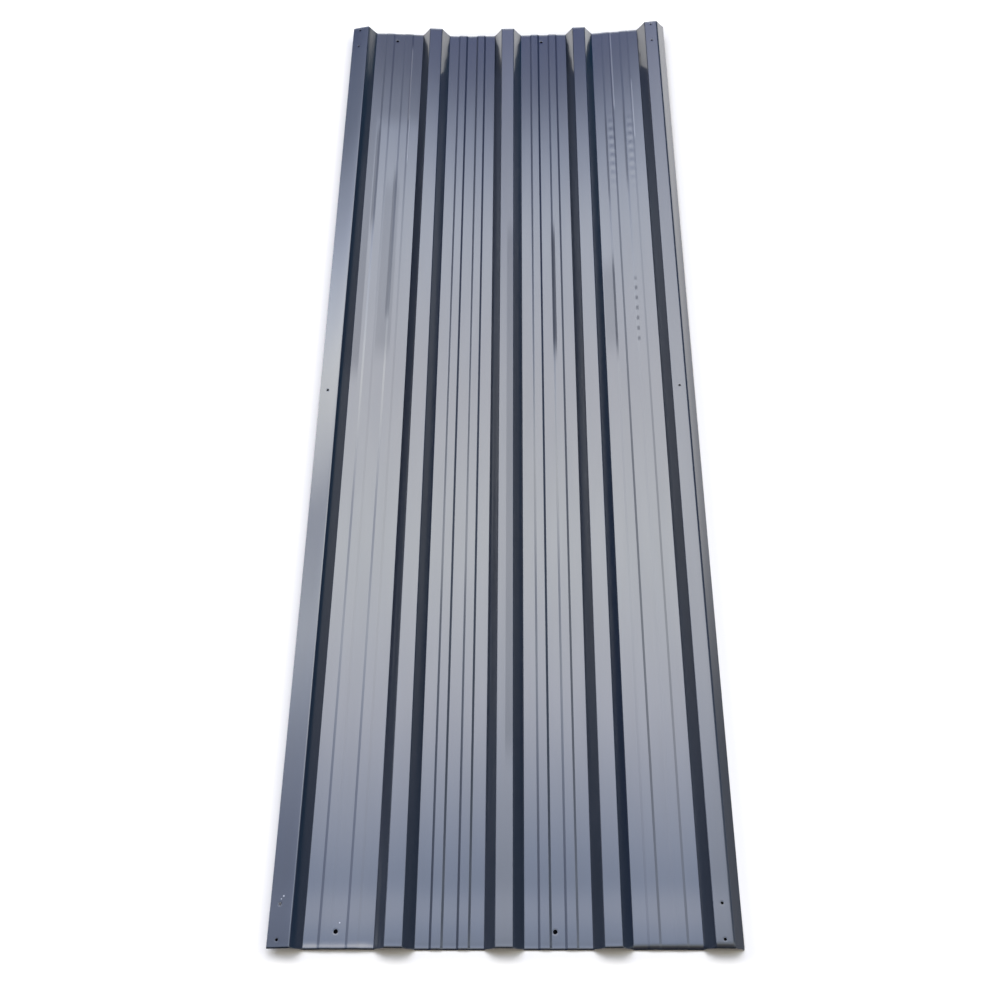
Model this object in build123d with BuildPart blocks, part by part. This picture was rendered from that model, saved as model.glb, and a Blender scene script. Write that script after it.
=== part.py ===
from build123d import *
from math import atan2, sin
import os

# A roll-formed steel roofing sheet with flat-topped ribs, lying on its pans.
# X runs across the ribs, Y along them, and Z up from the underside of the pans.

# Sheet
sheet_length = 1290.0
sheet_thickness = 0.5
bend_radius = 1.25

# Ribs, each a flat crest between two sloping webs
rib_count = 5
rib_height = 13.0
crest_width = 17.0
web_run = 10.5

# The first rib is only a crest strip, which droops towards its free edge
edge_strip_width = 21.8
edge_strip_droop = 4.5

# Pans, each with low stiffening beads between its flats, shallower in the outer pans
pan_side_flat = 13.4
pan_middle_flat = 12.6
bead_count = 2
inner_bead_height = 1.0
outer_bead_height = 0.5
bead_crest_width = 8.5
bead_side_run = 2.5

# Screw holes near both ends of two pans
pan_hole_diameter = 4.5
pan_hole_end_margin = 15.5
pan_hole_offset = -3.1
pans_with_holes = (0, 2)

# Nail holes along the edge strip and the last crest
nail_hole_diameter = 3.0
nail_hole_end_margin = 6.0
nail_hole_inner_margin = 39.5
strip_hole_edge_distance = 9.5

# Sizes that follow from the ones above
bead_width = 2 * bead_side_run + bead_crest_width
pan_width = 2 * pan_side_flat + bead_count * bead_width + (bead_count - 1) * pan_middle_flat
rib_pitch = crest_width + 2 * web_run + pan_width
pan_level = sheet_thickness / 2
crest_level = rib_height - sheet_thickness / 2
web_angle = atan2(crest_level - pan_level, web_run)
strip_angle = atan2(edge_strip_droop, edge_strip_width)
cut_edge_overhang = sheet_thickness / 2 * (sin(web_angle) - sin(strip_angle))
neutral_width = edge_strip_width + (rib_count - 1) * rib_pitch + web_run
left_edge = -(neutral_width + cut_edge_overhang) / 2
first_web = left_edge + edge_strip_width


def ridge_corners(start, run, top_width, low, high):
    """The four corners of a flat-topped ridge, from the foot at start to its other foot."""
    top_start = start + run
    top_end = top_start + top_width
    return [(start, low), (top_start, high), (top_end, high), (top_end + run, low)]


def pan_start(index):
    """Where a pan begins, counted from 0 at the left."""
    return first_web + web_run + index * rib_pitch


def bead_corners(index):
    """The corners of the beads in one pan."""
    bead_height = outer_bead_height if index in (0, rib_count - 2) else inner_bead_height
    corners = []
    for bead in range(bead_count):
        start = pan_start(index) + pan_side_flat + bead * (bead_width + pan_middle_flat)
        corners += ridge_corners(
            start, bead_side_run, bead_crest_width, pan_level, pan_level + bead_height
        )
    return corners


def section_corners():
    """The corners of the middle line of the steel, from the left edge to the right."""
    corners = [(left_edge, crest_level - edge_strip_droop), (first_web, crest_level)]
    for index in range(rib_count - 1):
        foot = pan_start(index)
        if index == 0:
            corners.append((foot, pan_level))
        corners += bead_corners(index)
        corners += ridge_corners(foot + pan_width, web_run, crest_width, pan_level, crest_level)
    return corners


# The middle line of the steel is bent along the section and thickened both ways
with BuildPart() as roofing_sheet:
    with BuildSketch(Plane.XZ) as section:
        with BuildLine() as middle_line:
            FilletPolyline(*section_corners(), radius=bend_radius + sheet_thickness / 2)
        trace(line_width=sheet_thickness)
    extrude(amount=sheet_length / 2, both=True)

    # Screw holes in the pans
    for index in pans_with_holes:
        hole_x = pan_start(index) + pan_width / 2 + pan_hole_offset
        hole_span = sheet_length - 2 * pan_hole_end_margin
        with Locations((hole_x, 0, rib_height)):
            with GridLocations(1, hole_span, 1, 2):
                Hole(pan_hole_diameter / 2)

    # Nail holes in the edge strip and in the last crest
    last_crest = pan_start(rib_count - 2) + pan_width + web_run + crest_width / 2
    for hole_x in (left_edge + strip_hole_edge_distance, last_crest):
        with Locations((hole_x, 0, rib_height)):
            Hole(nail_hole_diameter / 2)
            for margin in (nail_hole_end_margin, nail_hole_inner_margin):
                with GridLocations(1, sheet_length - 2 * margin, 1, 2):
                    Hole(nail_hole_diameter / 2)

roofing_sheet.part.label = "roofing_sheet"

os.makedirs("parts", exist_ok=True)
export_step(roofing_sheet.part, "parts/roofing_sheet.step")

box = roofing_sheet.part.bounding_box()
print("width", round(box.size.X, 3), "length", round(box.size.Y, 3), "height", round(box.size.Z, 3))
print("centre", round(box.center().X, 4), "rib pitch", rib_pitch, "lowest", round(box.min.Z, 4))
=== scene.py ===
"""A painted steel roofing sheet lying on a pale studio floor."""

from math import atan2, cos, exp, pi, radians, sin, tan

import bmesh
import bpy
from bpy.props import FloatProperty, FloatVectorProperty, IntProperty, PointerProperty
from mathutils import Matrix, Vector, noise


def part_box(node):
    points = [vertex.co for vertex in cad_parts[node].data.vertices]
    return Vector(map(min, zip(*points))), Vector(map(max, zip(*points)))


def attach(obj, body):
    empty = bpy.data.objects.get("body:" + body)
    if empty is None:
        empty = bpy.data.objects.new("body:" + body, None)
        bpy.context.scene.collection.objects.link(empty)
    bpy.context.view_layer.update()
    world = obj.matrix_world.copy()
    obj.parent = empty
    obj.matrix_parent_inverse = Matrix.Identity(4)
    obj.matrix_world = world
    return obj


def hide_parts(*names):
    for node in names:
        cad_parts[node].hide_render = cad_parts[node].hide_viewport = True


bl_info = {
    "name": "Roofing Sheet",
    "version": (1, 0, 0),
    "blender": (4, 5, 0),
    "location": "3D View > Sidebar > Sheet",
    "description": "Models a painted roofing sheet with flat-topped ribs and the studio around it",
    "category": "Object",
}

NODE = "roofing_sheet"
MM = 0.001

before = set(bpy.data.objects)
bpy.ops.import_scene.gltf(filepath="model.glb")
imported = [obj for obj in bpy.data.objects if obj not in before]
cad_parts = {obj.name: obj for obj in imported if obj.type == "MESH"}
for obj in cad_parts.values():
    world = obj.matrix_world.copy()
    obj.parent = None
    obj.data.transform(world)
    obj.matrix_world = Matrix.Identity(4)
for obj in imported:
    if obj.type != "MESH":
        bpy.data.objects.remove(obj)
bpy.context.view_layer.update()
sheet_low, sheet_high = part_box(NODE)
sheet_length = sheet_high.y - sheet_low.y
sheet_height = sheet_high.z - sheet_low.z

# How near two places in the mesh are when they count as one
SAME_ROW = 0.001 * MM
SAME_CORNER = 0.01 * MM

# Segments of the bend at a bead's corner and at a rib's
BEAD_SEGMENTS, RIB_SEGMENTS = 1, 3

# The widest strips that the flats and the dented beads are cut into
FLAT_STRIP = 4.6 * MM
DENTED_STRIP = 1.7 * MM
MOST_CUTS = 7

# Rows across the ribs: fine between these two places along the sheet, coarse elsewhere
FINE_FROM, FINE_TO = 0.30, 0.50
FINE_ROW = 2.9 * MM
COARSE_ROW = 9.0 * MM

# Rows next to the near and the far cut, in millimetres from it
NEAR_ROWS = (0.35, 0.7, 1.05, 1.8, 2.8, 4.6, 7.5)
FAR_ROWS = (5.0, 2.0, 1.0, 0.5)

# How far each rib stands from its even place, in millimetres, from the left
RIB_SHIFTS = (-1.1, 1.4, 1.2, -0.3, -0.8)

# How much flatter than rolled the edge strip lies, at places along its length in metres
STRIP_PLACES = (-0.645, -0.36, 0.50, 0.60, 0.645)
STRIP_SLOPES = (0.06, 0.03, 0.03, 0.02, 0.0)

# The cupped far end: where it starts to rise along the sheet, and then to the left and to the right
CUP_FROM = -0.25
CUP_POWER = 1.4
LEFT_CUP_FROM, LEFT_CUP_REACH = -0.045, 0.175
RIGHT_CUP_FROM, RIGHT_CUP_REACH = 0.095, 0.13

# The near end: where its outer pans rise, and how high the whole end stands on its turned-down cut
OUTER_PAN, OUTER_PAN_REACH = 0.155, 0.05
NEAR_POWER = 3
LIP_REST, LIP_REST_REACH = 1.2 * MM, 0.06

# Slow waves: share of the ripple's depth, wavelength across and along the sheet, and seed
WAVES = ((1.0, 0.045, 0.16, 1.7), (0.8, 0.12, 0.30, 7.1))
STRIP_WAVE, STRIP_WAVE_LENGTH, STRIP_WAVE_SEED = 2.0, 0.17, 4.2
STRIP_WAVE_FROM, STRIP_WAVE_REACH = -0.200, 0.02

# Dents in the last pan's beads: their spacing, how far the two rows are staggered and how far right they lie,
# where the rows start and end along the sheet, and how round a dent is
DENT_SPACING = 16.5 * MM
DENT_STAGGER = 3.0 * MM
DENT_ASIDE = 1.0 * MM
DENTS_FROM, DENTS_FADE_IN = 0.315, 0.06
DENTS_TO, DENTS_FADE_OUT = 0.50, 0.07
DENT_POWER = 1.5

# The first pan's sag at the far end: its left and right side and their softness, and where along the sheet
SAG_SPAN = (-0.205, -0.115, 0.01)
SAG_FROM, SAG_REACH = 0.47, 0.175

# The near cut: how far in the shears have bent the steel, the span of the first pan there and its softness,
# and the pan's two blisters, each with its x and width
NEAR_REACH = 8 * MM
FIRST_PAN_SPAN = (-0.197, -0.125, 0.004)
BLISTERS = ((-0.1855, 0.004), (-0.1370, 0.006))
BLISTER_SHARE = 0.5

# The near curl: its share in the other pans, and how far in it goes there and in the first pan
CURL_ELSEWHERE = 0.3
CURL_REACH = (2.8 * MM, 4.4 * MM)

# The turned edges: where the outer right end of the near cut is, the reach and depth of the near cut's turn
# elsewhere and there, and the far cut's reach
OUTER_END_FROM, OUTER_END_REACH = 0.105, 0.02
TURN_REACH = (0.9 * MM, 2.6 * MM)
TURN_DEPTH = (1.0, 2.5)
TURN_POWER = 1.5
FAR_TURN_REACH = 1.2 * MM

# Flats are turned at their edges: pans reach up to this height, and crests down to this depth below their top
PAN_TOP = 2.2 * MM
CREST_DEPTH = 1.5 * MM

# The near end has crept out this far at the pans and at the crests, from this far in, and grows with height
# from a web's foot up
CREEP = (0.9 * MM, 1.8 * MM)
CREEP_REACH = 5 * MM
CREEP_FOOT, CREEP_CLIMB = 2 * MM, 9 * MM

# Ribs whose crests carry the stack, from the left and counted from 0
RUBBED_RIBS = (2, 4)

# Faces that look along the ribs at least this squarely belong to a cut
CUT_FACING = 0.9

# Places of the underside's coat and of the cut edge among the sheet's materials. Paint comes first
BACK_COAT, CUT_EDGE = 1, 2

# Punches, and dark discs of painted shade under the holes. Each disc has its depth under the hole and its
# extra width
DISC_SIDES = 28
PUNCH_LENGTH = 8 * MM
PAN_SHADE_DISC = (0.36 * MM, 0.8 * MM)
NAIL_SHADE_DISC = (1.1 * MM, 2.4 * MM)
SHADE_DISC_THICKNESS = 0.1 * MM
HOLE_SHADE_COLOUR = (0.003, 0.003, 0.0035, 1)

# The edge strip's hole between these two places has no disc of painted shade: floor shows in it
OPEN_HOLE = (-0.62, -0.59)

# Faces that meet more sharply than this keep a sharp edge
SHARP_ANGLE = radians(35)

# Grains per metre across, along and up, for each pattern of the coats and the cut edge
DRAW_LINES = (260, 3, 60)
PAINT_PEEL = (900, 900, 900)
TINT_DRIFT = (120, 9, 40)
GLOSS_DRIFT = (60, 6, 20)
PRIMER_ROLL = (140, 4, 90)
PRIMER_WEAR = (26, 5, 26)
PRIMER_PEEL = (700, 700, 700)
SHEAR_LINES = (1400, 1400, 250)
GRAIN_ROUGHNESS = 0.6

# How many finer layers each pattern has, where it isn't the usual number
USUAL_DETAIL = 2.0
DRAW_DETAIL, ROLL_DETAIL, WEAR_DETAIL, SHEAR_DETAIL = 3.0, 4.0, 5.0, 3.0

# Heights of the fine relief
DRAW_DEPTH = 0.02 * MM
PAINT_PEEL_DEPTH = 0.012 * MM
PRIMER_DEPTH = 0.02 * MM
SHEAR_DEPTH = 0.04 * MM

# The paint: its darkest and lightest shade, the range of its roughness and what scuffing adds to that
PAINT_SHADES = (0.8, 1.2)
GLOSS_RANGE = 0.10
SCUFF_ROUGHNESS = 0.25
PAINT_IOR = 1.5

# Hole rims: the width and depth of their dish, and the width and share of bare zinc
DISH_WIDTH, DISH_DEPTH = 1.4 * MM, 0.05 * MM
BARE_RIM, BARE_RIM_SHARE = 0.35 * MM, 0.15

# The primer: its darkest and lightest shade, where it is worn thin, and its roughness with the grain's part
PRIMER_SHADES = (0.78, 1.18)
PRIMER_THIN = (0.62, 0.74)
PRIMER_ROUGHNESS, PRIMER_GRAIN = 0.42, 0.18

# The cut edge: where its stripes turn to zinc, its roughness with the stripes' part, and how metallic it is
SHEAR_ZINC = (0.35, 0.65)
SHEAR_ROUGHNESS, SHEAR_GRAIN = 0.3, 0.3
SHEAR_METAL = 0.8

# Painted highlight streaks along the rolls, lighter paint in place of reflected light: x, from y, to y and
# half width, in millimetres
PAINTED_HIGHLIGHT_STREAKS = (
    (-140.0, 480, 605, 0.9),
    (147.3, 500, 632, 1.0),
    (173.3, 440, 530, 0.9),
    (-139.0, 400, 470, 0.6),
)
STREAK_SHARE = 0.32
STREAK_EDGE = 1.6
STREAK_SOFT = 0.02

# Dull marks: from x, to x, from y, to y in millimetres, and how dull
DULL_MARKS = (
    (133.6, 135.6, 90, 185, 0.8),
    (133.4, 135.2, 340, 445, 0.5),
    (122.0, 133.0, 95, 175, 0.22),
    (158.6, 160.4, 370, 460, 0.5),
    (-204.0, -184.3, 60, 700, 0.35),
    (-1.0, 8.0, -430, 230, 0.30),
    (-186.0, -116.0, 490, 700, 0.35),
    (-182.2, -177.2, 300, 430, 0.5),
    (-155.2, -150.4, 140, 340, 0.55),
    (-165.0, -147.0, 90, 320, 0.22),
    (56.0, 60.0, 90, 240, 0.9),
)
MARK_SIDE_SOFT = 0.8 * MM
MARK_END_SOFT = 0.05

# Dashes left by the rolls: x, from y, to y, half width and spacing in millimetres
DASHES = (162.0, 84, 172, 1.2, 16.2)
DASH_SHARE = 0.55
DASH_END_SOFT = 0.015
DASH_WAVE = (-0.2, 0.9)

# Chips down to the zinc: x, y and radius in millimetres, and from how far out to how far in one shows
CHIPS = ((-213.6, -598.2, 0.8), (-215.7, -600.9, 0.55), (-159.3, -621.3, 0.6))
CHIP_EDGE = (1.3, 0.7)

# The outer web's near half is scuffed: from x, and from y to y where it fades in, in millimetres
SCUFFED_WEB = (214.0, -120, -500)

# The light tent's brightness along arcs from the near horizon over the top to the far horizon:
# degrees from straight up, then red, green and blue as parts of the full brightness
OVERHEAD = (
    (-90, 0.00, 0.00, 0.00),
    (-20, 0.06, 0.05, 0.04),
    (5, 0.15, 0.15, 0.12),
    (15, 0.25, 0.31, 0.46),
    (22, 0.68, 0.69, 0.77),
    (29, 0.79, 0.81, 0.82),
    (36, 0.65, 0.65, 0.69),
    (43, 0.57, 0.61, 0.69),
    (46.3, 0.32, 0.36, 0.46),
    (48.9, 0.03, 0.04, 0.08),
    (60, 0.00, 0.00, 0.12),
    (88, 0.00, 0.00, 0.15),
)
LEFT_PANEL = (
    (-70, 0.00, 0.00, 0.00),
    (-10, 0.02, 0.02, 0.02),
    (10, 0.14, 0.16, 0.21),
    (19, 0.155, 0.18, 0.27),
    (23, 0.26, 0.29, 0.38),
    (26, 0.43, 0.47, 0.57),
    (28.7, 0.61, 0.64, 0.70),
    (31, 0.46, 0.49, 0.55),
    (33.3, 0.29, 0.31, 0.39),
    (35.8, 0.72, 0.74, 0.78),
    (39, 1.00, 1.00, 0.97),
    (42, 0.79, 0.84, 0.94),
    (45, 0.42, 0.47, 0.61),
    (49, 0.06, 0.08, 0.13),
    (60, 0.00, 0.00, 0.05),
)
LEFT_WALL = (
    (-70, 0.00, 0.00, 0.00),
    (10, 0.02, 0.02, 0.03),
    (30, 0.04, 0.05, 0.07),
    (34, 0.10, 0.11, 0.13),
    (37, 0.50, 0.52, 0.55),
    (39, 0.40, 0.42, 0.46),
    (42, 0.12, 0.14, 0.17),
    (47, 0.03, 0.03, 0.05),
    (60, 0.00, 0.00, 0.00),
)
RIGHT_WALL = (
    (-70, 0.00, 0.00, 0.00),
    (0, 0.15, 0.15, 0.14),
    (11, 0.32, 0.33, 0.32),
    (13.6, 0.26, 0.28, 0.30),
    (15.7, 0.15, 0.17, 0.20),
    (18, 0.07, 0.08, 0.11),
    (22, 0.03, 0.04, 0.05),
    (40, 0.02, 0.03, 0.05),
    (50, 0.01, 0.01, 0.03),
    (75, 0.00, 0.01, 0.02),
)

# Where each side arc starts to take over and where it has, in degrees from straight up
SIDES = ((-14, -28, LEFT_PANEL), (-36, -44, LEFT_WALL), (13, 34, RIGHT_WALL))

# The tent's horizon is dark, so the camera sees a plain backdrop in its place, as bright as this
BACKDROP_STRENGTH = 1.0

# The floor: its radius, how far it lies under the sheet, its roughness, the colour of its glow, and how far
# from the sheet's outline the glow starts and is full
FLOOR_RADIUS = 14.0
FLOOR_SIDES = 96
FLOOR_DROP = 0.3 * MM
FLOOR_ROUGHNESS = 0.9
FLOOR_GLOW_COLOUR = (1.0, 0.98, 0.95, 1)
GLOW_FROM, GLOW_FULL = 4 * MM, 45 * MM

# The photo's camera: its place in metres, its three turns in degrees, its lens and sensor in millimetres,
# and the nearest and farthest it sees
CAMERA_PLACE = (0.0308, -0.9016, 1.2514)
CAMERA_PITCH, CAMERA_YAW, CAMERA_ROLL = 58.944, 3.010, -3.112
CAMERA_LENS = 45.862
CAMERA_SENSOR = 36.0
CAMERA_CLIP = (0.05, 100.0)


def length(name, description, millimetres):
    """A length property, given in millimetres."""
    return FloatProperty(
        name=name, description=description, default=millimetres * MM, unit="LENGTH", precision=5
    )


def fraction(name, description, value):
    """A property between 0 and 1."""
    return FloatProperty(name=name, description=description, default=value, min=0, max=1)


def colour(name, description, red, green, blue):
    """A colour property, given in linear parts."""
    return FloatVectorProperty(
        name=name, description=description, default=(red, green, blue), size=3, min=0, max=1, subtype="COLOR"
    )


class SheetSizes(bpy.types.PropertyGroup):
    """Sizes of the rolled section and its holes."""

    thickness: length("Thickness", "Steel with its coats", 0.5)
    bend_radius: length("Bend radius", "Radius of the middle line at a bend", 1.5)
    outer_bend_radius: length("Outer bend radius", "The softer bend above the right edge's web", 3.6)
    rib_count: IntProperty(name="Ribs", description="Ribs, with the left edge's half rib", default=5, min=2)
    crest_width: length("Crest width", "Flat top of a rib", 17.0)
    web_run: length("Web run", "How far a web goes across as it climbs", 10.5)
    strip_width: length("Edge strip width", "The half rib along the left edge", 21.8)
    strip_droop: length("Edge strip droop", "How far the left edge hangs below the crests", 4.5)
    side_flat: length("Side flat", "Pan between a web and its nearest bead", 13.4)
    middle_flat: length("Middle flat", "Pan between its two beads", 12.6)
    bead_crest: length("Bead crest", "Flat top of a bead", 8.5)
    bead_run: length("Bead side run", "How far the side of a bead goes across", 2.5)
    inner_bead: length("Inner bead height", "Beads of the middle pans", 1.0)
    outer_bead: length("Outer bead height", "Beads of the two outer pans", 0.5)
    pan_hole: length("Pan hole", "Diameter of the screw holes in the pans", 4.5)
    pan_hole_margin: length("Pan hole margin", "From the sheet's end to a pan hole", 15.5)
    pan_hole_offset: length("Pan hole offset", "From a pan's middle to its holes", -3.1)
    nail_hole: length("Nail hole", "Diameter of the holes along the edges", 3.0)
    nail_end_margin: length("Nail end margin", "From the sheet's end to the first nail hole", 6.0)
    nail_inner_margin: length("Nail inner margin", "From the sheet's end to the second nail hole", 39.5)
    strip_hole_margin: length("Strip hole margin", "From the left edge to its nail holes", 9.5)


class SheetFinish(bpy.types.PropertyGroup):
    """Colours and gloss of the sheet's coats."""

    paint: colour("Paint", "Slate paint on the weather side", 0.0045, 0.0105, 0.0235)
    back_coat: colour("Back coat", "Primer on the underside", 0.20, 0.21, 0.22)
    bare_edge: colour("Bare edge", "Sheared steel along the cuts", 0.05, 0.05, 0.06)
    zinc: colour("Zinc", "Zinc under the paint", 0.42, 0.43, 0.45)
    roughness: fraction("Roughness", "Roughness of the paint", 0.32)
    clear_roughness: fraction("Clear roughness", "Roughness of the paint's clear skin", 0.08)
    rubbed_roughness: fraction("Rubbed roughness", "Roughness of the clear skin on rubbed crests", 0.24)


class SheetWear(bpy.types.PropertyGroup):
    """How far rolling, stacking and handling have moved the steel."""

    far_left_lift: length("Far left lift", "Rise of the left edge at the far end", 9.6)
    far_right_lift: length("Far right lift", "Rise of the right edge at the far end", 10.0)
    near_lift: length("Near lift", "Rise of the near end's outer pans", 2.4)
    ripple: length("Ripple", "Depth of the slow waves in the flats", 0.10)
    chatter: length("Chatter", "Height of the round dents on two beads", 0.12)
    near_curl: length("Near curl", "Rise of the first pan's near end towards its cut", 0.30)
    near_lip: length("Near lip", "How far the near cut turns down", 0.8)
    far_lip: length("Far lip", "How far the far cut turns up", 0.35)
    far_sag: length("Far sag", "How far the first pan hangs at the far end", 0.45)
    shallow_third: length("Third pan step", "What the third pan's last bead lacks on its right", 0.30)
    shallow_fourth: length("Fourth pan step", "What the fourth pan's last bead lacks on its right", 0.15)


class StudioLook(bpy.types.PropertyGroup):
    """Floor, light tent and backdrop."""

    floor: colour("Floor", "Pale floor", 0.93, 0.90, 0.85)
    floor_glow: FloatProperty(name="Floor glow", description="Light from the lit floor", default=0.65, min=0)
    brightness: FloatProperty(name="Tent", description="Brightness of the light tent", default=8.0, min=0)
    backdrop: colour("Backdrop", "What is seen behind the floor", 0.96, 0.96, 0.95)


def deselect_all():
    """Nothing is selected or active, in object mode."""
    bpy.ops.object.select_all(action="DESELECT")
    bpy.context.view_layer.objects.active = None


def in_place(name):
    """The active object, named and put at the origin with its place in its mesh."""
    piece = bpy.context.active_object
    piece.name = name
    piece.data.name = name
    bpy.ops.object.transform_apply(location=True, rotation=True, scale=True)
    return piece


def apply_modifier(piece, kind, **settings):
    """Adds a modifier with these settings and applies it."""
    modifier = piece.modifiers.new(kind.title(), kind)
    for key, value in settings.items():
        setattr(modifier, key, value)
    bpy.context.view_layer.objects.active = piece
    bpy.ops.object.modifier_apply(modifier=modifier.name)


def pick_edges(piece, wanted):
    """In edit mode, selects only the edges that wanted(edge) is true for. Returns how many."""
    bpy.ops.mesh.select_mode(type="EDGE")
    bpy.ops.mesh.select_all(action="DESELECT")
    mesh = bmesh.from_edit_mesh(piece.data)
    picked = [edge for edge in mesh.edges if wanted(edge)]
    for edge in picked:
        edge.select_set(True)
    bmesh.update_edit_mesh(piece.data)
    return len(picked)


def runs_along(edge):
    """True for an edge along the ribs."""
    start, end = (corner.co for corner in edge.verts)
    return abs(start.y - end.y) > max(abs(start.x - end.x), abs(start.z - end.z))


def section_corners(sizes):
    """Corners of the section's middle line from the left edge to the last foot, each with its bead mark."""
    crest = sheet_height - sizes.thickness / 2
    pan = sizes.thickness / 2
    droop_angle = atan2(sizes.strip_droop, sizes.strip_width)
    x = sheet_low.x + sizes.thickness / 2 * sin(droop_angle)
    corners = [(x, crest - sizes.strip_droop, False)]
    x += sizes.strip_width
    corners.append((x, crest, False))
    for index in range(sizes.rib_count - 1):
        outer = index in (0, sizes.rib_count - 2)
        bead = pan + (sizes.outer_bead if outer else sizes.inner_bead)
        x += sizes.web_run
        corners.append((x, pan, False))
        for flat in (sizes.side_flat, sizes.middle_flat):
            x += flat
            corners.append((x, pan, True))
            x += sizes.bead_run
            corners.append((x, bead, True))
            x += sizes.bead_crest
            corners.append((x, bead, True))
            x += sizes.bead_run
            corners.append((x, pan, True))
        x += sizes.side_flat
        corners.append((x, pan, False))
        x += sizes.web_run
        corners.append((x, crest, False))
        x += sizes.crest_width
        corners.append((x, crest, False))
    corners.append((x + sizes.web_run, pan, False))
    return corners


def turn_at(corners, index):
    """The angle that the section turns through at a corner."""
    before, here, after = (Vector(corners[i][:2]) for i in (index - 1, index, index + 1))
    return (here - before).angle(after - here)


def crest_lines(corners, sizes):
    """X of the pans' middles and of the last crest's middle."""
    pitch = sizes.crest_width + 2 * sizes.web_run + pan_width(sizes)
    first = corners[1][0] + sizes.web_run + pan_width(sizes) / 2
    pans = [first + index * pitch for index in range(sizes.rib_count - 1)]
    last_crest = corners[-2][0] - sizes.crest_width / 2
    return pans, last_crest


def pan_width(sizes):
    """Width of the flat between two webs, with its beads."""
    return 2 * sizes.side_flat + sizes.middle_flat + 2 * (2 * sizes.bead_run + sizes.bead_crest)


def hole_places(sizes, corners):
    """(x, y, z, diameter) of each hole, at the middle of the sheet's thickness."""
    pans, last_crest = crest_lines(corners, sizes)
    crest = sheet_height - sizes.thickness / 2
    strip_x = corners[0][0] + sizes.strip_hole_margin
    strip_z = crest - sizes.strip_droop * (1 - sizes.strip_hole_margin / sizes.strip_width)
    half = sheet_length / 2
    places = []
    for pan in (pans[0], pans[2]):
        for side in (-1, 1):
            y = side * (half - sizes.pan_hole_margin)
            places.append((pan + sizes.pan_hole_offset, y, sizes.thickness / 2, sizes.pan_hole))
    for x, z in ((strip_x, strip_z), (last_crest, crest)):
        places.append((x, 0.0, z, sizes.nail_hole))
        for margin in (sizes.nail_end_margin, sizes.nail_inner_margin):
            for side in (-1, 1):
                places.append((x, side * (half - margin), z, sizes.nail_hole))
    return places


def roll_section(sizes, corners):
    """A strip of steel one millimetre long with the sheet's section, stretched to its length and bent."""
    bpy.ops.mesh.primitive_plane_add(size=MM, location=(corners[0][0], sheet_low.y, corners[0][1]))
    piece = in_place("roofing_sheet_skin")
    bpy.ops.object.mode_set(mode="EDIT")
    bpy.ops.mesh.select_mode(type="VERT")
    bpy.ops.mesh.select_all(action="SELECT")
    bpy.ops.mesh.merge(type="CENTER")
    for before, after in zip(corners, corners[1:]):
        step = (after[0] - before[0], 0, after[1] - before[1])
        bpy.ops.mesh.extrude_vertices_move(TRANSFORM_OT_translate={"value": step})
    bpy.ops.mesh.select_all(action="SELECT")
    bpy.ops.mesh.extrude_region_move(TRANSFORM_OT_translate={"value": (0, sheet_length, 0)})
    return piece


def bend_corners(piece, sizes, corners):
    """Rounds the section's corners to their bend radius, those with the same setback in one go."""
    last_crest_corner = len(corners) - 2
    groups = {}
    for index in range(1, len(corners) - 1):
        turn = turn_at(corners, index)
        is_bead = corners[index][2]
        radius = sizes.outer_bend_radius if index == last_crest_corner else sizes.bend_radius
        groups.setdefault((round(radius * tan(turn / 2), 6), is_bead), []).append(corners[index])
    for (setback, is_bead), members in groups.items():
        places = [(x, z) for x, z, _ in members]

        def at_corner(edge):
            start = edge.verts[0].co
            if not runs_along(edge):
                return False
            return any(abs(start.x - x) + abs(start.z - z) < SAME_CORNER for x, z in places)

        pick_edges(piece, at_corner)
        segments = BEAD_SEGMENTS if is_bead else RIB_SEGMENTS
        bpy.ops.mesh.bevel(offset=setback, segments=segments, affect="EDGES", clamp_overlap=True)


def divide_faces(piece, sizes, dented):
    """Cuts the flats into narrow strips, the dented beads into narrower ones, and the whole into rows."""

    def cuts_for(edge):
        if runs_along(edge):
            return 0
        middle = (edge.verts[0].co.x + edge.verts[1].co.x) / 2
        on_dents = any(abs(middle - bead) < sizes.bead_crest / 2 for bead in dented)
        return int(edge.calc_length() / (DENTED_STRIP if on_dents else FLAT_STRIP))

    for cuts in range(1, MOST_CUTS + 1):
        if pick_edges(piece, lambda edge: cuts_for(edge) == cuts):
            bpy.ops.mesh.subdivide(number_cuts=cuts)
    near_rows = [sheet_low.y + inward * MM for inward in NEAR_ROWS]
    far_rows = [sheet_high.y - inward * MM for inward in FAR_ROWS]
    stops = [sheet_low.y, *near_rows, FINE_FROM, FINE_TO, *far_rows, sheet_high.y]
    for stop in stops[1:-1]:
        bpy.ops.mesh.select_all(action="SELECT")
        bpy.ops.mesh.bisect(plane_co=(0, stop, 0), plane_no=(0, 1, 0))
    for start, end in zip(stops, stops[1:]):
        row = FINE_ROW if start == FINE_FROM else COARSE_ROW
        cuts = max(1, round((end - start) / row)) - 1

        def in_span(edge):
            low, high = sorted(corner.co.y for corner in edge.verts)
            return runs_along(edge) and low > start - SAME_ROW and high < end + SAME_ROW

        if cuts and pick_edges(piece, in_span):
            bpy.ops.mesh.subdivide(number_cuts=cuts)


def smooth(value):
    """0 below 0, 1 above 1, and an even curve between."""
    value = min(1.0, max(0.0, value))
    return value * value * (3 - 2 * value)


def blend(share, low, high):
    """low at a share of 0, high at 1."""
    return low + (high - low) * share


def plateau(x, low, high, soft):
    """1 well between low and high, 0 outside."""
    return smooth((x - low) / soft) * smooth((high - x) / soft)


def bell(x, middle, width):
    """1 at the middle, falling to either side."""
    return exp(-(((x - middle) / width) ** 2))


def between(x, places, values):
    """The value at x on straight lines through the places."""
    if x <= places[0]:
        return values[0]
    for start, end, low, high in zip(places, places[1:], values, values[1:]):
        if x <= end:
            return low + (high - low) * (x - start) / (end - start)
    return values[-1]


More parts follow.
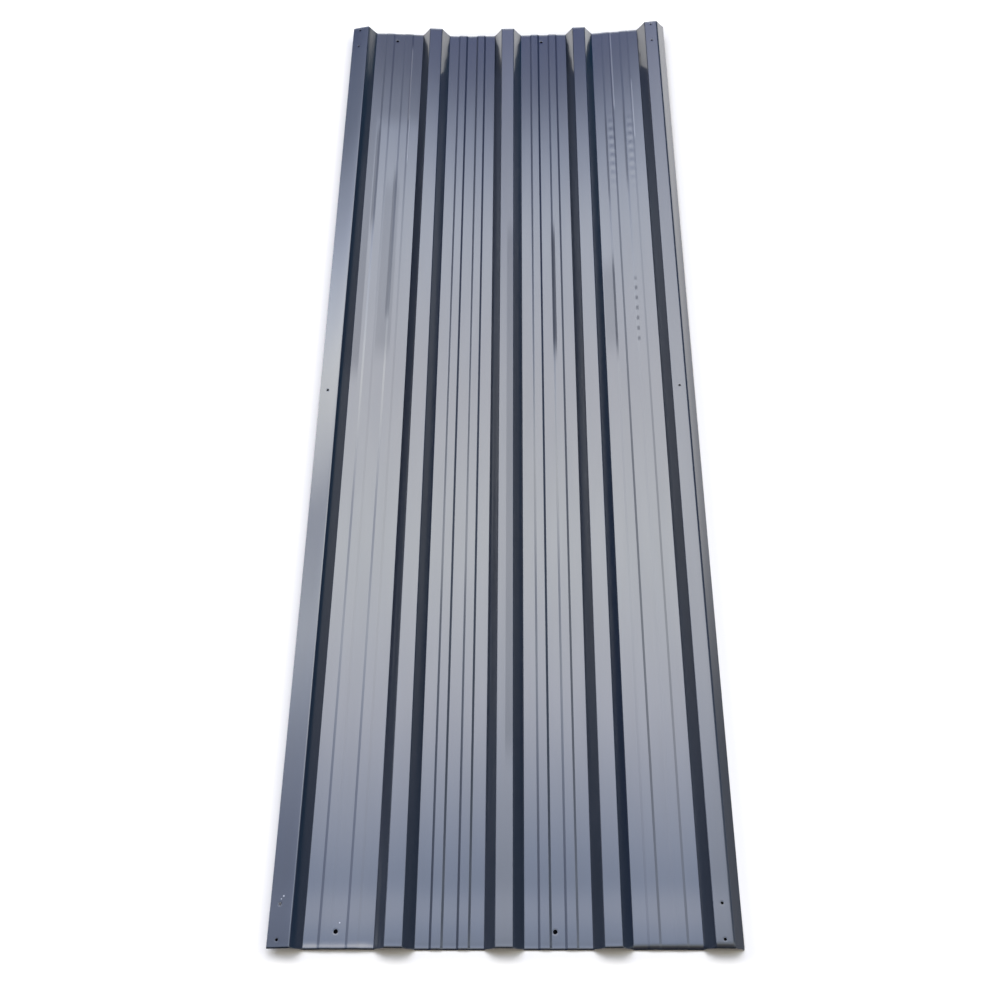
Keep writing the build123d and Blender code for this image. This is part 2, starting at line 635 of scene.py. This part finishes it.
def wobble(x, y, across, along, seed):
    """Smooth noise from -1 to 1, with its own wavelength across and along the ribs."""
    return noise.noise(Vector((x / across, y / along, seed)))


class Settling:
    """Where the rolled sheet's points have moved to."""

    def __init__(self, sizes, wear, corners):
        self.wear = wear
        self.pans, last_crest = crest_lines(corners, sizes)
        pitch = self.pans[1] - self.pans[0]
        self.ribs = [last_crest - (sizes.rib_count - 1 - index) * pitch for index in range(sizes.rib_count)]
        self.bead_offset = (sizes.middle_flat + sizes.bead_crest) / 2 + sizes.bead_run
        self.bead_half = sizes.bead_crest / 2
        self.bead_run = sizes.bead_run
        self.side_flat = sizes.side_flat
        self.dented = [self.pans[-1] + side * self.bead_offset for side in (-1, 1)]
        self.crest_height = sheet_height - sizes.thickness / 2
        self.strip_corner = corners[1][0]
        self.half_length = sheet_length / 2

    def shift(self, x):
        """Sideways move of the rib or pan at x."""
        return MM * between(x, self.ribs, RIB_SHIFTS)

    def lift(self, x, y):
        """Rise of the whole section at a place: the far end is cupped and the near end lies on its lip."""
        wear = self.wear
        far = max(0.0, (y - CUP_FROM) / (self.half_length - CUP_FROM)) ** CUP_POWER
        near = max(0.0, -y / self.half_length) ** NEAR_POWER
        left = wear.far_left_lift * smooth((LEFT_CUP_FROM - x) / LEFT_CUP_REACH)
        right = wear.far_right_lift * max(0.0, (x - RIGHT_CUP_FROM) / RIGHT_CUP_REACH) ** CUP_POWER
        outer_pans = wear.near_lift * bell(abs(x), OUTER_PAN, OUTER_PAN_REACH)
        on_lip = LIP_REST * smooth((LIP_REST_REACH - self.half_length - y) / LIP_REST_REACH)
        return far * (left + right) + near * outer_pans + on_lip

    def ripple(self, x, y):
        """Slow waves in the flats, the crests and the edge strip."""
        waves = sum(share * wobble(x, y, across, along, seed) for share, across, along, seed in WAVES)
        on_strip = smooth((STRIP_WAVE_FROM - x) / STRIP_WAVE_REACH)
        waves += STRIP_WAVE * on_strip * wobble(0, y, 1, STRIP_WAVE_LENGTH, STRIP_WAVE_SEED)
        return self.wear.ripple * waves

    def strip_lift(self, x, y):
        """The edge strip has been bent up again, most of all at the near end."""
        return between(y, STRIP_PLACES, STRIP_SLOPES) * max(0.0, self.strip_corner - x)

    def chatter(self, x, y):
        """Round dents in a row on both beads of the last pan, left by the rolls at the far end."""
        rise = 0.0
        for side, bead in zip((-1, 1), self.dented):
            across = (x - bead - DENT_ASIDE) / self.bead_half
            if abs(across) < 1:
                shown = smooth((y - DENTS_FROM) / DENTS_FADE_IN) * smooth((DENTS_TO - y) / DENTS_FADE_OUT)
                turns = (y - side * DENT_STAGGER) / DENT_SPACING
                along = 2 * (turns - round(turns))
                dome = max(0.0, 1 - along * along - across * across)
                rise += self.wear.chatter * shown * dome ** DENT_POWER
        return rise

    def shallow_steps(self, x):
        """The third and fourth pan's last bead is shallow on its right: the flat beside it stays higher."""
        rise = 0.0
        for pan, lack in ((2, self.wear.shallow_third), (3, self.wear.shallow_fourth)):
            foot = self.pans[pan] + self.bead_offset + self.bead_half + self.bead_run
            up = min(1.0, max(0.0, (x - foot + self.bead_run) / self.bead_run))
            rise += lack * up * (1 - smooth((x - foot) / self.side_flat))
        return rise

    def sag(self, x, y):
        """The first pan hangs a little at the far end."""
        return -self.wear.far_sag * plateau(x, *SAG_SPAN) * max(0.0, (y - SAG_FROM) / SAG_REACH) ** 2

    def near_end(self, x, y):
        """The near cut: the pans rise a little towards it, and the shears have turned the edge down."""
        inward = self.half_length + y
        if inward > NEAR_REACH:
            return 0.0
        first_pan = plateau(x, *FIRST_PAN_SPAN)
        blisters = BLISTER_SHARE * sum(bell(x, middle, width) for middle, width in BLISTERS)
        curl = self.wear.near_curl * (CURL_ELSEWHERE + first_pan * (1 - CURL_ELSEWHERE + blisters))
        outer_end = smooth((x - OUTER_END_FROM) / OUTER_END_REACH)
        reach = blend(first_pan, *CURL_REACH)
        turn = blend(outer_end, *TURN_REACH)
        rise = curl * smooth((reach - inward) / (reach - turn))
        depth = self.wear.near_lip * blend(outer_end, *TURN_DEPTH)
        return rise - depth * max(0.0, 1 - inward / turn) ** TURN_POWER

    def far_end(self, y):
        """The far cut, turned up by the shears."""
        return self.wear.far_lip * max(0.0, 1 - (self.half_length - y) / FAR_TURN_REACH) ** TURN_POWER

    def height(self, x, y):
        """Rise of the sheet at a place, apart from its two cuts."""
        bent = self.lift(x, y) + self.strip_lift(x, y) + self.sag(x, y)
        return bent + self.ripple(x, y) + self.chatter(x, y) + self.shallow_steps(x)

    def move(self, point):
        """Moves one point of the sheet."""
        x, y, z = point
        on_pan = smooth((PAN_TOP - z) / MM)
        on_crest = smooth((z - self.crest_height + CREST_DEPTH) / MM)
        on_strip = smooth((self.strip_corner - x) / MM)
        creep = blend(smooth((z - CREEP_FOOT) / CREEP_CLIMB), *CREEP)
        point.x += self.shift(x)
        point.y -= creep * smooth(1 - (self.half_length + y) / CREEP_REACH)
        turned = max(on_pan, on_crest, on_strip) * (self.near_end(x, y) + self.far_end(y))
        point.z += self.height(x, y) + turned


def tidy_back(piece):
    """The underside has one coat all over, and the rim one bare edge."""
    for face in piece.data.polygons:
        if face.material_index > 0 and face.normal.z < 0:
            face.material_index = BACK_COAT
        elif abs(face.normal.y) > CUT_FACING:
            face.material_index = CUT_EDGE


def rub_crests(piece, ribs, half_width):
    """Gives the rubbed paint to the crests that carry the stack."""
    rubbed = len(piece.data.materials) - 1
    for face in piece.data.polygons:
        if any(abs(face.center.x - ribs[index]) < half_width for index in RUBBED_RIBS):
            face.material_index = rubbed


def settled_holes(sizes, corners, settling):
    """(x, y, z, diameter) of each hole in the settled sheet."""
    return [
        (x + settling.shift(x), y, z + settling.height(x, y), diameter)
        for x, y, z, diameter in hole_places(sizes, corners)
    ]


def discs(places, depth, name):
    """One object of upright round discs, each at (x, y, z) with its diameter."""
    deselect_all()
    made = []
    for x, y, z, diameter in places:
        bpy.ops.mesh.primitive_cylinder_add(
            vertices=DISC_SIDES, radius=diameter / 2, depth=depth, location=(x, y, z)
        )
        made.append(bpy.context.active_object)
    for disc in made:
        disc.select_set(True)
    bpy.ops.object.join()
    return in_place(name)


def punch(piece, holes, edge_metal):
    """Cuts the round holes through the sheet."""
    tool = discs(holes, PUNCH_LENGTH, "punches")
    tool.data.materials.append(edge_metal)
    deselect_all()
    piece.select_set(True)
    apply_modifier(
        piece, "BOOLEAN", object=tool, operation="DIFFERENCE", solver="EXACT", material_mode="TRANSFER"
    )
    bpy.data.objects.remove(tool, do_unlink=True)


def darken_holes(holes, pan_hole):
    """Small dark discs of the set under the holes, painted shade that makes them look black from above, all
    but one.
    """
    shade_discs = []
    for x, y, z, diameter in holes:
        in_pan = diameter == pan_hole
        drop, extra = PAN_SHADE_DISC if in_pan else NAIL_SHADE_DISC
        if in_pan or x > 0 or not OPEN_HOLE[0] < y < OPEN_HOLE[1]:
            shade_discs.append((x, y, z - drop, diameter + extra))
    pads = discs(shade_discs, SHADE_DISC_THICKNESS, "hole_shade_discs")
    material, _, shader = fresh_material("painted_hole_shade")
    shader.inputs["Base Color"].default_value = HOLE_SHADE_COLOUR
    shader.inputs["Roughness"].default_value = 1.0
    shader.inputs["Specular IOR Level"].default_value = 0.0
    pads.data.materials.append(material)


def node(tree, kind, **settings):
    """A shader node of that kind, with its own settings or the defaults of its sockets."""
    made = tree.nodes.new(kind)
    for key, value in settings.items():
        if key in made.inputs:
            made.inputs[key].default_value = value
        else:
            setattr(made, key, value)
    return made


def fresh_material(name):
    """A new material, its node tree and its surface shader."""
    material = bpy.data.materials.new(name)
    material.use_nodes = True
    tree = material.node_tree
    return material, tree, tree.nodes["Principled BSDF"]


def number(tree, operation, *values):
    """The result of a math node fed with sockets or plain numbers."""
    made = tree.nodes.new("ShaderNodeMath")
    made.operation = operation
    for entry, value in zip(made.inputs, values):
        if isinstance(value, (int, float)):
            entry.default_value = value
        else:
            tree.links.new(value, entry)
    return made.outputs["Value"]


def product(tree, first, second):
    """The product of two masks or numbers."""
    return number(tree, "MULTIPLY", first, second)


def distance(tree, across, along):
    """The length of an offset."""
    return number(tree, "SQRT", number(tree, "MULTIPLY_ADD", along, along, product(tree, across, across)))


def fade(tree, value, start, end):
    """0 at start, 1 at end and an even curve between."""
    made = node(tree, "ShaderNodeMapRange", interpolation_type="SMOOTHSTEP")
    made.inputs["From Min"].default_value = start
    made.inputs["From Max"].default_value = end
    tree.links.new(value, made.inputs["Value"])
    return made.outputs["Result"]


def window(tree, value, low, high, soft):
    """1 between low and high, fading out over soft on either side."""
    rises = fade(tree, value, low - soft, low)
    falls = fade(tree, value, high + soft, high)
    return product(tree, rises, falls)


def total(tree, masks):
    """The highest of some masks."""
    result = masks[0]
    for mask in masks[1:]:
        result = number(tree, "MAXIMUM", result, mask)
    return result


def sheet_place(tree):
    """Object coordinates, and their x and y."""
    place = node(tree, "ShaderNodeTexCoord").outputs["Object"]
    parts = node(tree, "ShaderNodeSeparateXYZ")
    tree.links.new(place, parts.inputs["Vector"])
    return place, parts.outputs["X"], parts.outputs["Y"]


def grain(tree, place, stretch, detail=USUAL_DETAIL):
    """Noise with its own number of grains per metre along each axis."""
    mapping = node(tree, "ShaderNodeMapping", Scale=stretch)
    tree.links.new(place, mapping.inputs["Vector"])
    made = node(tree, "ShaderNodeTexNoise", Scale=1.0, Detail=detail, Roughness=GRAIN_ROUGHNESS)
    tree.links.new(mapping.outputs["Vector"], made.inputs["Vector"])
    return made.outputs["Fac"]


def raised(tree, height, depth, under=None):
    """A bump of that depth in metres, over another normal or alone."""
    made = node(tree, "ShaderNodeBump", Strength=1.0, Distance=depth)
    tree.links.new(height, made.inputs["Height"])
    if under:
        tree.links.new(under, made.inputs["Normal"])
    return made.outputs["Normal"]


def mixed(tree, share, first, second):
    """Two colours mixed by a mask. Each is a colour or a socket."""
    made = tree.nodes.new("ShaderNodeMixRGB")
    tree.links.new(share, made.inputs["Fac"])
    for entry, value in ((made.inputs["Color1"], first), (made.inputs["Color2"], second)):
        if isinstance(value, bpy.types.NodeSocket):
            tree.links.new(value, entry)
        else:
            entry.default_value = (*value, 1)
    return made.outputs["Color"]


def rim_distance(tree, x, y, holes):
    """How far a point is from the nearest hole's rim. The holes at the two ends mirror each other."""
    end = number(tree, "ABSOLUTE", y)
    nearest = None
    for hole_x, hole_y, _, diameter in holes:
        if hole_y < 0:
            continue
        across = number(tree, "SUBTRACT", x, hole_x)
        along = number(tree, "SUBTRACT", end, hole_y)
        gap = number(tree, "SUBTRACT", distance(tree, across, along), diameter / 2)
        nearest = gap if nearest is None else number(tree, "MINIMUM", nearest, gap)
    return nearest


def chips_and_painted_highlights(tree, x, y):
    """Where painted highlight streaks along the rolls and real chips down to the zinc show lighter."""
    masks = []
    for place, start, end, half in PAINTED_HIGHLIGHT_STREAKS:
        across = number(tree, "ABSOLUTE", number(tree, "SUBTRACT", x, place * MM))
        line = fade(tree, across, half * STREAK_EDGE * MM, 0.0)
        stretch = window(tree, y, start * MM, end * MM, STREAK_SOFT)
        masks.append(product(tree, product(tree, line, stretch), STREAK_SHARE))
    for place, along, radius in CHIPS:
        aside = number(tree, "SUBTRACT", x, place * MM)
        up = number(tree, "SUBTRACT", y, along * MM)
        outer, inner = (radius * part * MM for part in CHIP_EDGE)
        masks.append(fade(tree, distance(tree, aside, up), outer, inner))
    return total(tree, masks)


def dull_marks(tree, x, y):
    """Where the clear skin is scuffed away."""
    masks = []
    for left, right, start, end, depth in DULL_MARKS:
        across = window(tree, x, left * MM, right * MM, MARK_SIDE_SOFT)
        along = window(tree, y, start * MM, end * MM, MARK_END_SOFT)
        masks.append(product(tree, product(tree, across, along), depth))
    place, start, end, half, spacing = (value * MM for value in DASHES)
    across = window(tree, x, place - half, place + half, MARK_SIDE_SOFT)
    along = window(tree, y, start, end, DASH_END_SOFT)
    wave = fade(tree, number(tree, "COSINE", product(tree, y, 2 * pi / spacing)), *DASH_WAVE)
    masks.append(product(tree, product(tree, across, along), product(tree, wave, DASH_SHARE)))
    web_x, web_start, web_end = (value * MM for value in SCUFFED_WEB)
    on_web = fade(tree, x, web_x, web_x + MM)
    masks.append(product(tree, on_web, fade(tree, y, web_start, web_end)))
    return total(tree, masks)


def shades(colour_parts, shares):
    """A colour made darker and lighter."""
    return [[part * share for part in colour_parts] for share in shares]


def painted_steel(finish, holes):
    """Semi-gloss slate paint with a fine grain, painted highlight streaks, scuffs, chips and dished hole
    rims.
    """
    material, tree, shader = fresh_material("slate_paint")
    place, x, y = sheet_place(tree)
    rim = rim_distance(tree, x, y, holes)
    normal = raised(tree, grain(tree, place, DRAW_LINES, DRAW_DETAIL), DRAW_DEPTH)
    normal = raised(tree, grain(tree, place, PAINT_PEEL), PAINT_PEEL_DEPTH, normal)
    normal = raised(tree, fade(tree, rim, 0.0, DISH_WIDTH), DISH_DEPTH, normal)
    tree.links.new(normal, shader.inputs["Normal"])
    tree.links.new(normal, shader.inputs["Coat Normal"])
    bare_rim = product(tree, fade(tree, rim, BARE_RIM, 0.0), BARE_RIM_SHARE)
    tint = mixed(tree, grain(tree, place, TINT_DRIFT), *shades(finish.paint, PAINT_SHADES))
    # Painted highlight streaks lighten the paint towards zinc, as do the real chips and bare hole rims
    tint = mixed(tree, total(tree, (chips_and_painted_highlights(tree, x, y), bare_rim)), tint, finish.zinc)
    tree.links.new(tint, shader.inputs["Base Color"])
    dull = dull_marks(tree, x, y)
    tree.links.new(number(tree, "SUBTRACT", 1.0, dull), shader.inputs["Coat Weight"])
    lowest = finish.roughness - GLOSS_RANGE / 2
    uneven = number(tree, "MULTIPLY_ADD", grain(tree, place, GLOSS_DRIFT), GLOSS_RANGE, lowest)
    tree.links.new(number(tree, "MULTIPLY_ADD", dull, SCUFF_ROUGHNESS, uneven), shader.inputs["Roughness"])
    shader.inputs["IOR"].default_value = PAINT_IOR
    shader.inputs["Coat Roughness"].default_value = finish.clear_roughness
    shader.inputs["Coat IOR"].default_value = PAINT_IOR
    return material


def rubbed_paint(finish, holes):
    """The same paint where stacked sheets have rubbed the crests dull."""
    material = painted_steel(finish, holes)
    material.name = "rubbed_slate_paint"
    shader = material.node_tree.nodes["Principled BSDF"]
    shader.inputs["Coat Roughness"].default_value = finish.rubbed_roughness
    return material


def back_coat(finish):
    """Thin grey primer on the underside, uneven from its roller and scuffed here and there."""
    material, tree, shader = fresh_material("back_primer")
    place = sheet_place(tree)[0]
    rolled = grain(tree, place, PRIMER_ROLL, ROLL_DETAIL)
    thin = fade(tree, grain(tree, place, PRIMER_WEAR, WEAR_DETAIL), *PRIMER_THIN)
    primer = mixed(tree, rolled, *shades(finish.back_coat, PRIMER_SHADES))
    tree.links.new(mixed(tree, thin, primer, finish.zinc), shader.inputs["Base Color"])
    rough = number(tree, "MULTIPLY_ADD", rolled, PRIMER_GRAIN, PRIMER_ROUGHNESS)
    tree.links.new(rough, shader.inputs["Roughness"])
    normal = raised(tree, grain(tree, place, PRIMER_PEEL), PRIMER_DEPTH)
    tree.links.new(raised(tree, rolled, PRIMER_DEPTH, normal), shader.inputs["Normal"])
    return material


def cut_edge(finish):
    """Sheared steel between its zinc coats, striped where the blade broke through."""
    material, tree, shader = fresh_material("cut_edge")
    stripes = grain(tree, sheet_place(tree)[0], SHEAR_LINES, SHEAR_DETAIL)
    tint = mixed(tree, fade(tree, stripes, *SHEAR_ZINC), finish.bare_edge, finish.zinc)
    tree.links.new(tint, shader.inputs["Base Color"])
    rough = number(tree, "MULTIPLY_ADD", stripes, SHEAR_GRAIN, SHEAR_ROUGHNESS)
    tree.links.new(rough, shader.inputs["Roughness"])
    tree.links.new(raised(tree, stripes, SHEAR_DEPTH), shader.inputs["Normal"])
    shader.inputs["Metallic"].default_value = SHEAR_METAL
    return material


class SHEET_OT_roofing_sheet(bpy.types.Operator):
    """Roll, bend, settle and punch the painted sheet"""

    bl_idname = "sheet.roofing_sheet"
    bl_label = "Roofing sheet"

    def execute(self, context):
        sizes = context.scene.sheet_sizes
        finish = context.scene.sheet_finish
        wear = context.scene.sheet_wear
        corners = section_corners(sizes)
        deselect_all()
        settling = Settling(sizes, wear, corners)
        piece = roll_section(sizes, corners)
        bend_corners(piece, sizes, corners)
        divide_faces(piece, sizes, settling.dented)
        bpy.ops.mesh.select_all(action="SELECT")
        bpy.ops.mesh.normals_make_consistent(inside=False)
        bpy.ops.object.mode_set(mode="OBJECT")
        if sum(face.normal.z * face.area for face in piece.data.polygons) < 0:
            piece.data.flip_normals()
        edge_metal = cut_edge(finish)
        holes = settled_holes(sizes, corners, settling)
        coats = (painted_steel(finish, holes), back_coat(finish), edge_metal, rubbed_paint(finish, holes))
        for coat in coats:
            piece.data.materials.append(coat)
        rub_crests(piece, settling.ribs, sizes.crest_width / 2)
        for point in piece.data.vertices:
            settling.move(point.co)
        apply_modifier(
            piece, "SOLIDIFY", thickness=sizes.thickness, offset=0, use_even_offset=True,
            material_offset=BACK_COAT, material_offset_rim=CUT_EDGE
        )
        tidy_back(piece)
        punch(piece, holes, edge_metal)
        deselect_all()
        piece.select_set(True)
        context.view_layer.objects.active = piece
        bpy.ops.object.shade_smooth_by_angle(angle=SHARP_ANGLE)
        apply_modifier(piece, "WEIGHTED_NORMAL", keep_sharp=True)
        darken_holes(holes, sizes.pan_hole)
        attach(piece, "root")
        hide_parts(NODE)
        return {"FINISHED"}


def arc_of_light(tree, along, stops):
    """The colour that a row of stops gives to an angle along the arc."""
    ramp = node(tree, "ShaderNodeValToRGB")
    elements = ramp.color_ramp.elements
    while len(elements) < len(stops):
        elements.new(0.5)
    for element, (degrees, *tint) in zip(elements, stops):
        element.position = degrees / 180 + 0.5
        element.color = (*tint, 1)
    tree.links.new(along, ramp.inputs["Fac"])
    return ramp.outputs["Color"]


def light_tent(look):
    """A light tent with gradients overhead and on either side. The camera sees a plain backdrop instead."""
    world = bpy.data.worlds.new("light_tent")
    bpy.context.scene.world = world
    world.use_nodes = True
    tree = world.node_tree
    tree.nodes.clear()
    parts = node(tree, "ShaderNodeSeparateXYZ")
    tree.links.new(node(tree, "ShaderNodeTexCoord").outputs["Generated"], parts.inputs["Vector"])
    along = number(tree, "ARCTAN2", parts.outputs["Y"], parts.outputs["Z"])
    across = number(tree, "ARCTAN2", parts.outputs["X"], parts.outputs["Z"])
    place = number(tree, "MULTIPLY_ADD", along, 1 / pi, 0.5)
    light = arc_of_light(tree, place, OVERHEAD)
    for starts, ends, stops in SIDES:
        aside = fade(tree, across, radians(starts), radians(ends))
        light = mixed(tree, aside, light, arc_of_light(tree, place, stops))
    glow = node(tree, "ShaderNodeBackground", Strength=look.brightness)
    tree.links.new(light, glow.inputs["Color"])
    backdrop = node(tree, "ShaderNodeBackground", Color=(*look.backdrop, 1), Strength=BACKDROP_STRENGTH)
    seen = node(tree, "ShaderNodeMixShader")
    tree.links.new(node(tree, "ShaderNodeLightPath").outputs["Is Camera Ray"], seen.inputs["Fac"])
    tree.links.new(glow.outputs["Background"], seen.inputs[1])
    tree.links.new(backdrop.outputs["Background"], seen.inputs[2])
    out = node(tree, "ShaderNodeOutputWorld")
    tree.links.new(seen.outputs["Shader"], out.inputs["Surface"])


def photo_camera():
    """The photo's camera: turned down by its pitch, left by its yaw and round its own axis by its roll."""
    pitch, yaw, roll = (radians(angle) for angle in (CAMERA_PITCH, CAMERA_YAW, CAMERA_ROLL))
    data = bpy.data.cameras.new("photo_camera")
    data.sensor_width = CAMERA_SENSOR
    data.lens = CAMERA_LENS
    data.clip_start, data.clip_end = CAMERA_CLIP
    forward = Vector((-sin(yaw) * cos(pitch), cos(yaw) * cos(pitch), -sin(pitch)))
    right = Vector((cos(yaw), sin(yaw), 0))
    up = right.cross(forward)
    across = cos(roll) * right + sin(roll) * up
    upward = -sin(roll) * right + cos(roll) * up
    turn = Matrix((across, upward, -forward)).transposed()
    camera = bpy.data.objects.new("photo_camera", data)
    bpy.context.scene.collection.objects.link(camera)
    camera.matrix_world = Matrix.Translation(CAMERA_PLACE) @ turn.to_4x4()
    bpy.context.scene.camera = camera


def away_from_sheet(tree):
    """0 at the sheet's outline and 1 a little way out, for the floor's glow: painted light that leaves a
    painted contact shadow along the sheet.
    """
    _, x, y = sheet_place(tree)
    gaps = []
    for place, edge in ((x, sheet_high.x), (y, sheet_high.y)):
        gap = number(tree, "SUBTRACT", number(tree, "ABSOLUTE", place), edge)
        gaps.append(number(tree, "MAXIMUM", gap, 0.0))
    return fade(tree, distance(tree, *gaps), GLOW_FROM, GLOW_FULL)


def pale_floor(look):
    """A round pale floor just under the sheet, glowing with painted light away from it."""
    deselect_all()
    bpy.ops.mesh.primitive_circle_add(
        vertices=FLOOR_SIDES, radius=FLOOR_RADIUS, fill_type="NGON", location=(0, 0, -FLOOR_DROP)
    )
    floor = in_place("studio_floor")
    material, tree, shader = fresh_material("pale_floor")
    shader.inputs["Base Color"].default_value = (*look.floor, 1)
    shader.inputs["Roughness"].default_value = FLOOR_ROUGHNESS
    shader.inputs["Emission Color"].default_value = FLOOR_GLOW_COLOUR
    glow = product(tree, away_from_sheet(tree), look.floor_glow)
    tree.links.new(glow, shader.inputs["Emission Strength"])
    floor.data.materials.append(material)


class SHEET_OT_studio(bpy.types.Operator):
    """Set the floor, the light tent and the camera"""

    bl_idname = "sheet.studio"
    bl_label = "Studio"

    def execute(self, context):
        look = context.scene.studio_look
        context.scene.view_settings.view_transform = "Standard"
        pale_floor(look)
        light_tent(look)
        photo_camera()
        return {"FINISHED"}


class SHEET_PT_panel(bpy.types.Panel):
    """Buttons for the sheet and its studio"""

    bl_label = "Roofing Sheet"
    bl_space_type = "VIEW_3D"
    bl_region_type = "UI"
    bl_category = "Sheet"

    def draw(self, context):
        for name in GROUPS:
            group = getattr(context.scene, name)
            box = self.layout.box()
            for key in group.__annotations__:
                box.prop(group, key)
        for operator in OPERATORS:
            self.layout.operator(operator.bl_idname)


GROUPS = {
    "sheet_sizes": SheetSizes, "sheet_finish": SheetFinish, "sheet_wear": SheetWear, "studio_look": StudioLook
}
OPERATORS = (SHEET_OT_roofing_sheet, SHEET_OT_studio)
CLASSES = (*GROUPS.values(), *OPERATORS, SHEET_PT_panel)


def register():
    for entry in CLASSES:
        bpy.utils.register_class(entry)
    for name, group in GROUPS.items():
        setattr(bpy.types.Scene, name, PointerProperty(type=group))


def unregister():
    for name in GROUPS:
        delattr(bpy.types.Scene, name)
    for entry in reversed(CLASSES):
        bpy.utils.unregister_class(entry)


def main():
    register()
    bpy.ops.sheet.roofing_sheet()
    bpy.ops.sheet.studio()


if __name__ == "__main__":
    main()
